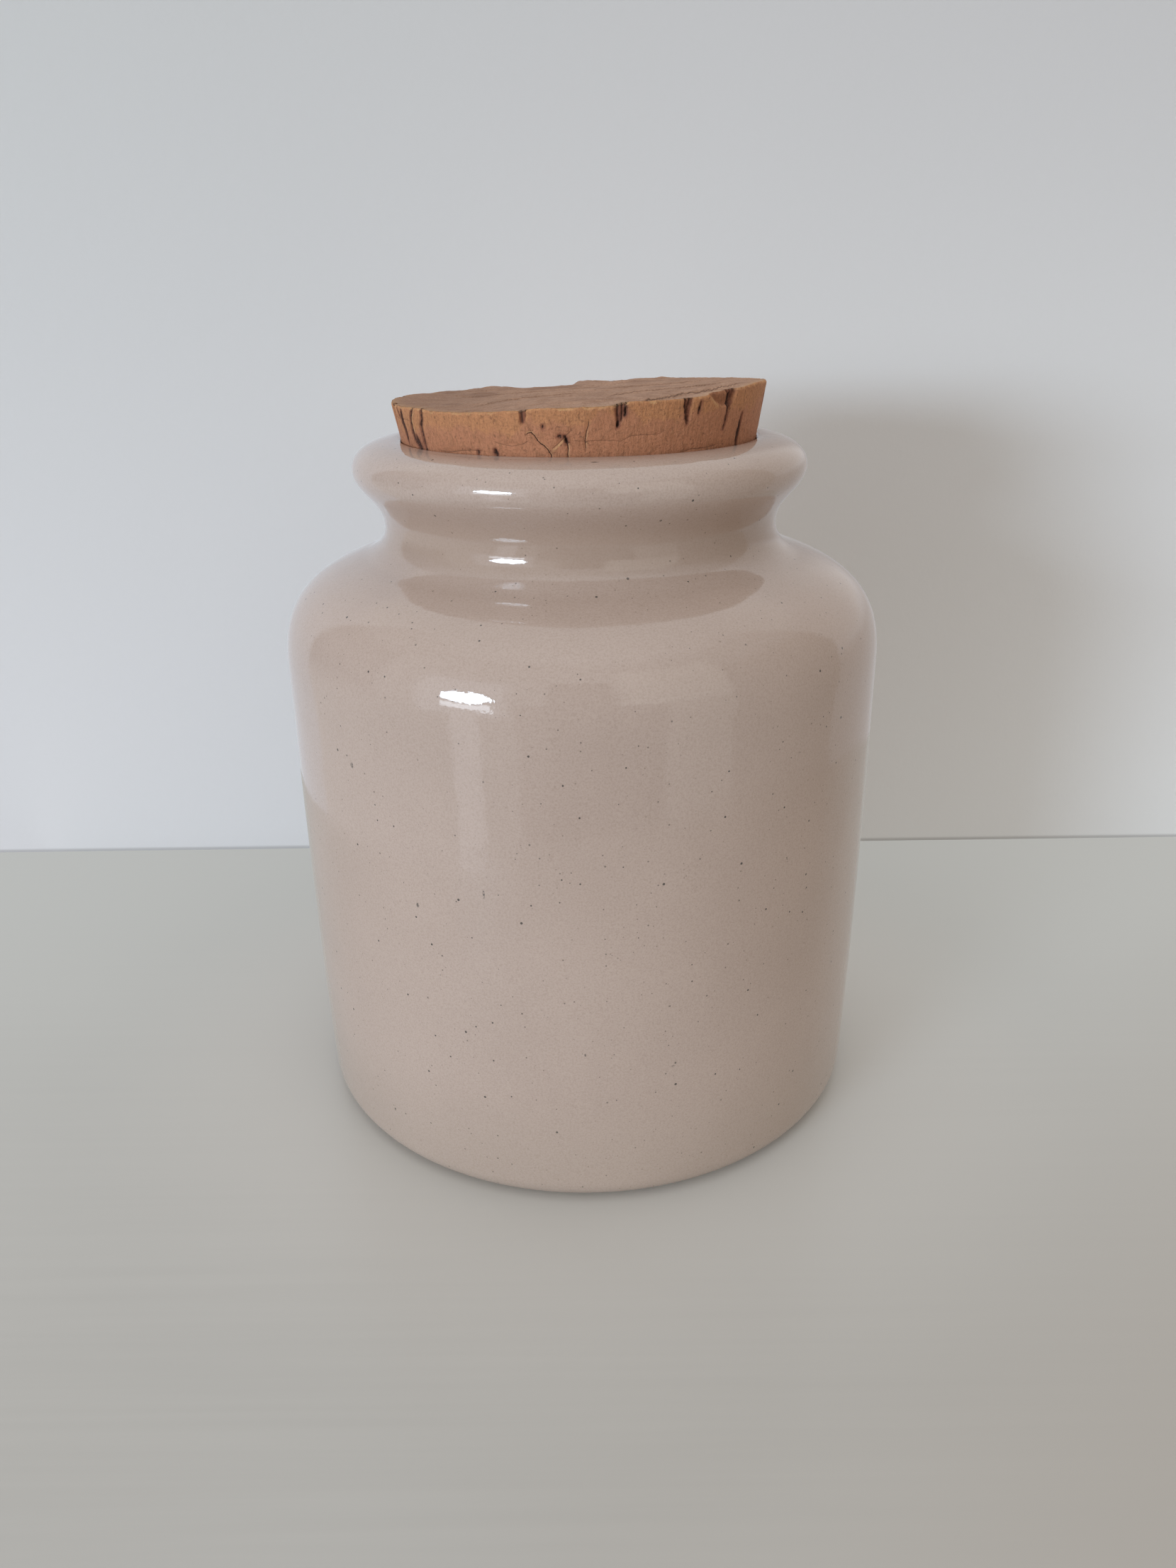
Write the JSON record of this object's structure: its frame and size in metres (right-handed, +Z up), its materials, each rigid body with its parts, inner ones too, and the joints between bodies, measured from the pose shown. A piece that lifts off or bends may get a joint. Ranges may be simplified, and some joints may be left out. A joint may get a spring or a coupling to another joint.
{
  "type": "stoneware storage jar with cork stopper",
  "caption": "Round glazed stoneware jar with a rolled rim, a narrow neck groove and a tapered natural cork stopper that pulls out.",
  "frame": {"origin": "centre of the jar's foot, on the plane it stands on", "axes": "+Z up along the jar's turning axis; -Y is the side seen in front, and the stopper stands highest towards +X"},
  "size_m": [0.104, 0.104, 0.1281],
  "materials": {
    "glazed_stoneware": "glossy clear-beige glaze with fine dark iron specks, bare and matt on the foot ring",
    "cork": "raw natural cork with dark pores, a worn edge and a rough bark-like top"
  },
  "bodies": {
    "jar": {"jar": "glazed_stoneware"},
    "stopper": {"stopper": "cork"}
  },
  "joints": [
    {"name": "stopper_lift", "type": "slide", "parent": "jar", "child": "stopper", "axis": [0, 0, 1], "range_m": [0, 0.08]}
  ]
}
